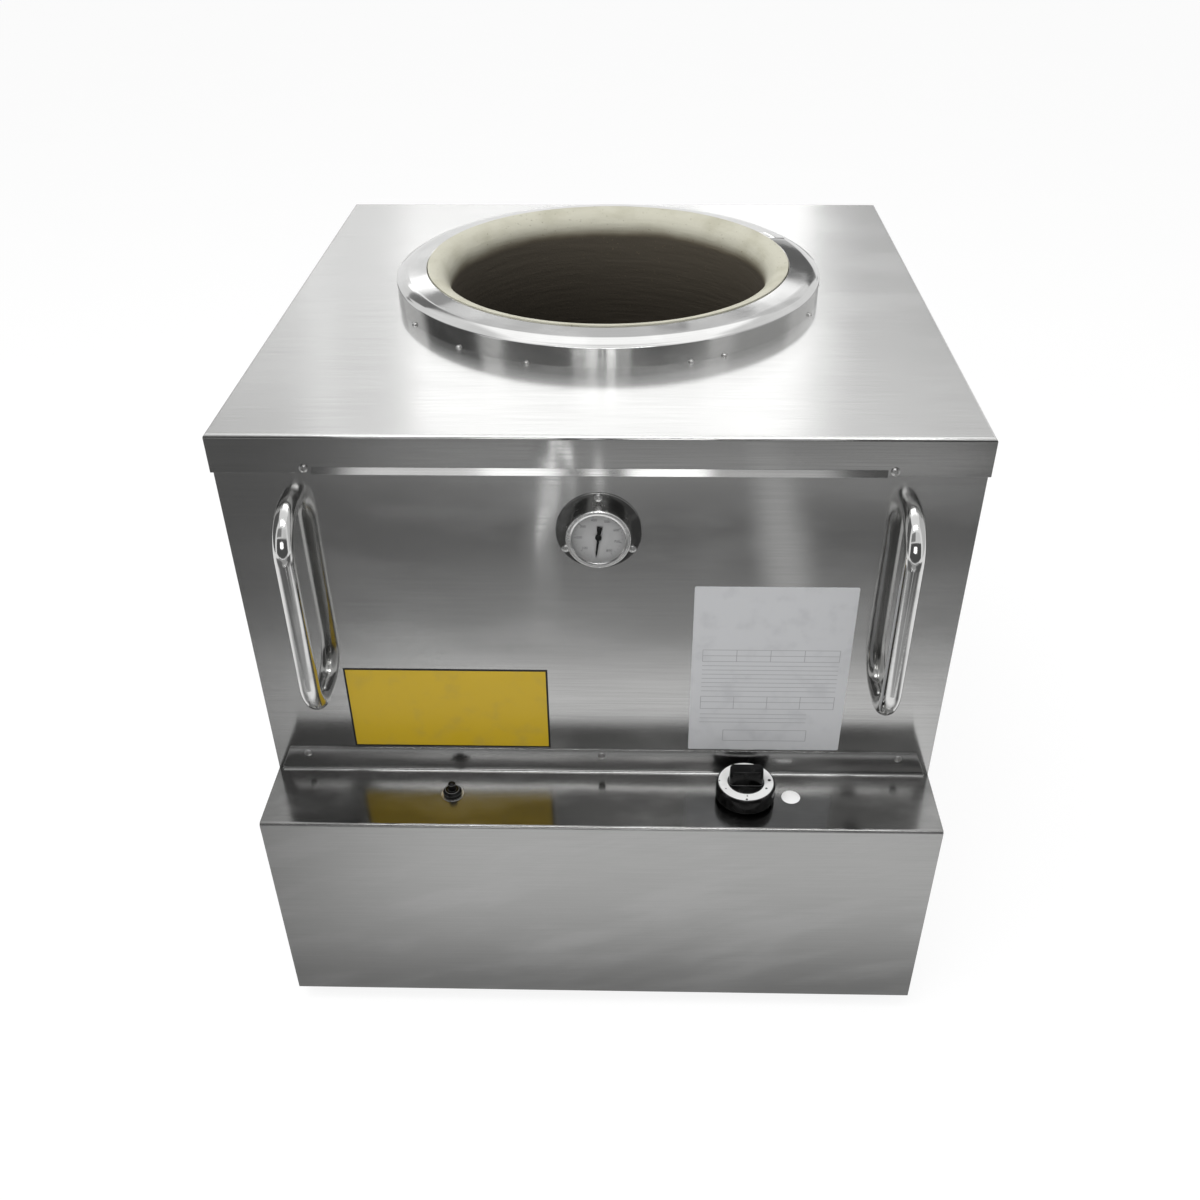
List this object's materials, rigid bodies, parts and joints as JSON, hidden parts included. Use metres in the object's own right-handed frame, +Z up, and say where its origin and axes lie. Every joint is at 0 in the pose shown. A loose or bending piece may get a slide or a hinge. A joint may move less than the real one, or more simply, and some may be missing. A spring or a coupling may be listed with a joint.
{
  "type": "clay tandoor oven",
  "caption": "Gas-fired clay tandoor oven: a round clay pot in a square stainless cabinet, with a front control box, knob, push igniter, dial thermometer and two tube handles.",
  "frame": {"origin": "centre of the footprint box on the floor, midway between the control box's front face and the gas inlet's end", "axes": "+Z up, -Y towards the front with the controls, +X to the right as seen from the front"},
  "size_m": [0.7922, 0.9172, 0.794],
  "materials": {
    "polished_steel": "polished",
    "satin_steel": "satin",
    "mirror_steel": "polished",
    "screw_steel": "satin",
    "frame_steel": "matte",
    "fired_clay": "matte",
    "ceramic_fibre": "matte",
    "burner_iron": "matte",
    "brass_fittings": "satin",
    "soft_aluminium": "satin",
    "black_plastic": "gloss",
    "dial_print": "satin",
    "needle_black": "satin",
    "clear_glass": "gloss",
    "pad_rubber": "matte",
    "porcelain": "gloss",
    "lead_jacket": "satin"
  },
  "bodies": {
    "oven": {"top_pan": "satin_steel", "collar_ring": "polished_steel", "collar_welds": "screw_steel", "neck_seal": "ceramic_fibre", "clay_pot": "fired_clay", "insulation_fill": "ceramic_fibre", "front_panel": "mirror_steel", "left_panel": "satin_steel", "right_panel": "satin_steel", "rear_panel": "satin_steel", "top_frame": "frame_steel", "corner_posts": "frame_steel", "base_frame": "frame_steel", "base_tray": "satin_steel", "base_rails": "frame_steel", "shelf_legs": "frame_steel", "pot_shelf": "frame_steel", "feet": "frame_steel", "foot_pads": "pad_rubber", "burner_box": "satin_steel", "burner_head": "burner_iron", "mixing_tube": "burner_iron", "gas_jet": "brass_fittings", "flame_deflector": "burner_iron", "feed_pipe": "brass_fittings", "gas_pipe": "frame_steel", "inlet_nipple": "frame_steel", "inlet_locknuts": "frame_steel", "gas_valve": "brass_fittings", "valve_nut": "screw_steel", "pilot_burner": "burner_iron", "pilot_tube": "soft_aluminium", "thermocouple": "brass_fittings", "spark_electrode": "porcelain", "ignition_lead": "lead_jacket", "igniter_body": "black_plastic", "igniter_nut": "black_plastic", "control_box": "satin_steel", "control_box_floor": "satin_steel", "upstand_screws": "screw_steel", "lip_screws": "screw_steel", "left_handle": "polished_steel", "right_handle": "polished_steel", "handle_inserts": "screw_steel", "handle_bolts": "screw_steel", "thermo_flange": "polished_steel", "thermo_case": "polished_steel", "thermo_bezel": "polished_steel", "thermo_glass": "clear_glass", "thermo_dial": "dial_print", "thermo_probe": "screw_steel", "thermo_screws": "screw_steel"},
    "valve_plug": {"valve_plug": "brass_fittings"},
    "knob": {"valve_stem": "screw_steel", "knob": "black_plastic", "knob_dial": "dial_print"},
    "igniter_button": {"igniter_button": "black_plastic"},
    "needle": {"thermo_needle": "needle_black", "needle_shaft": "screw_steel"},
    "air_shutter": {"air_shutter": "screw_steel"}
  },
  "joints": [
    {"name": "valve_turn", "type": "hinge", "parent": "oven", "child": "valve_plug", "pos_m": [0.169, -0.4046, 0.27], "axis": [0, 0, 1], "range_deg": [0, 150]},
    {"name": "knob_push", "type": "slide", "parent": "valve_plug", "child": "knob", "axis": [0, 0, -1], "range_m": [0, 0.004], "stiffness_N_per_m": 900, "springref_m": -0.004},
    {"name": "igniter_push", "type": "slide", "parent": "oven", "child": "igniter_button", "axis": [0, 0, -1], "range_m": [0, 0.006], "stiffness_N_per_m": 1200, "springref_m": -0.004},
    {"name": "needle_turn", "type": "hinge", "parent": "oven", "child": "needle", "pos_m": [0, -0.3746, 0.6515], "axis": [0, 1, 0], "range_deg": [0, 320], "stiffness_Nm_per_rad": 0.002},
    {"name": "shutter_turn", "type": "hinge", "parent": "oven", "child": "air_shutter", "pos_m": [0, -0.2315, 0.1], "axis": [0, 1, 0], "range_deg": [0, 62]}
  ]
}
